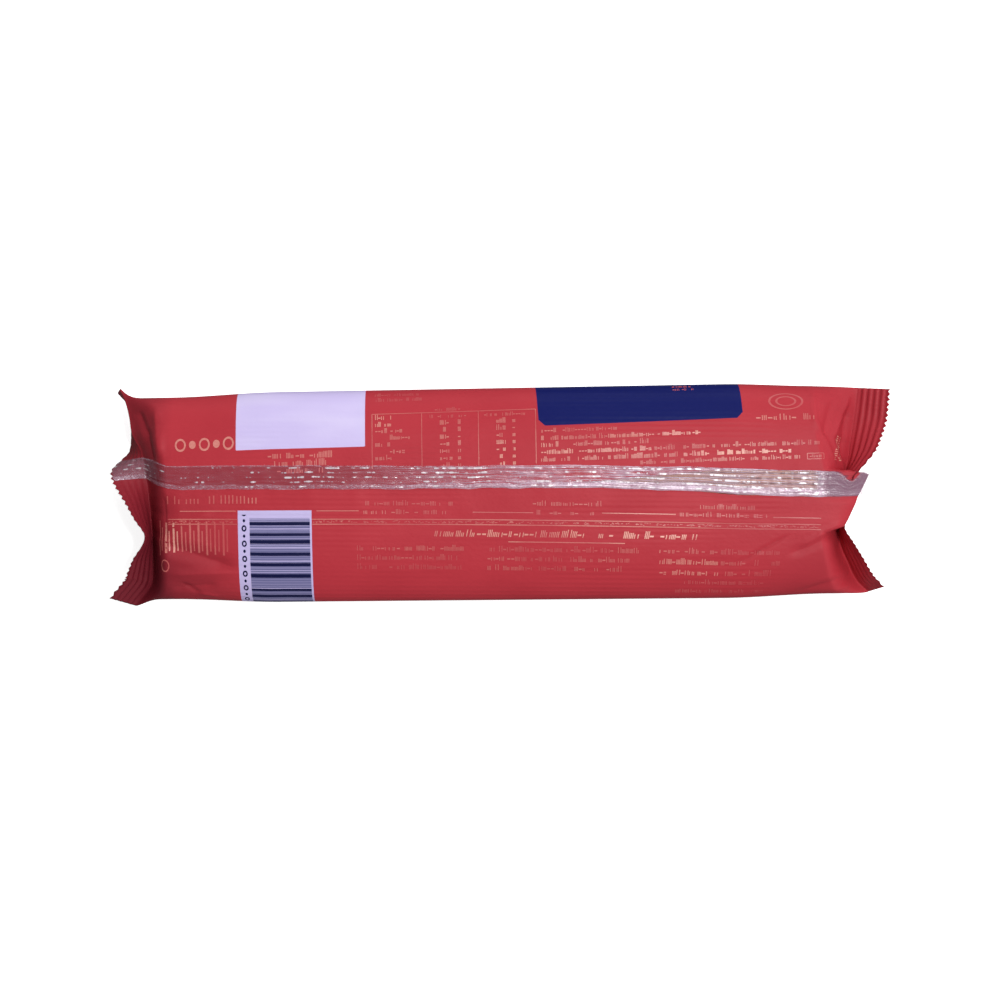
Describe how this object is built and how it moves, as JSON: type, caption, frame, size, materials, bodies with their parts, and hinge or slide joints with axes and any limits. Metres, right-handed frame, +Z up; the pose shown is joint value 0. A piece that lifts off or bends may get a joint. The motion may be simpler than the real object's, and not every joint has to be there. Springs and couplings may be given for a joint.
{
  "type": "pasta packet",
  "caption": "Sealed film pack of long pasta lying on its front, with a clear seam along its back and crimped zigzag end seals.",
  "frame": {"origin": "on the table, under the middle of the pack's outer box", "axes": "+X along the strands, +Y across the pack, +Z up through the face with the lengthwise seam"},
  "size_m": [0.2998, 0.0834, 0.0286],
  "materials": {
    "printed_film": "satin printed film, red with cream, white and navy print",
    "clear_film": "glossy clear film, hazy where it is doubled and crimped",
    "pasta": "dry pasta, smooth and slightly translucent"
  },
  "bodies": {
    "root": {"film_pack": "printed_film", "clear_seam": "clear_film", "spaghetti": "pasta"}
  },
  "joints": []
}
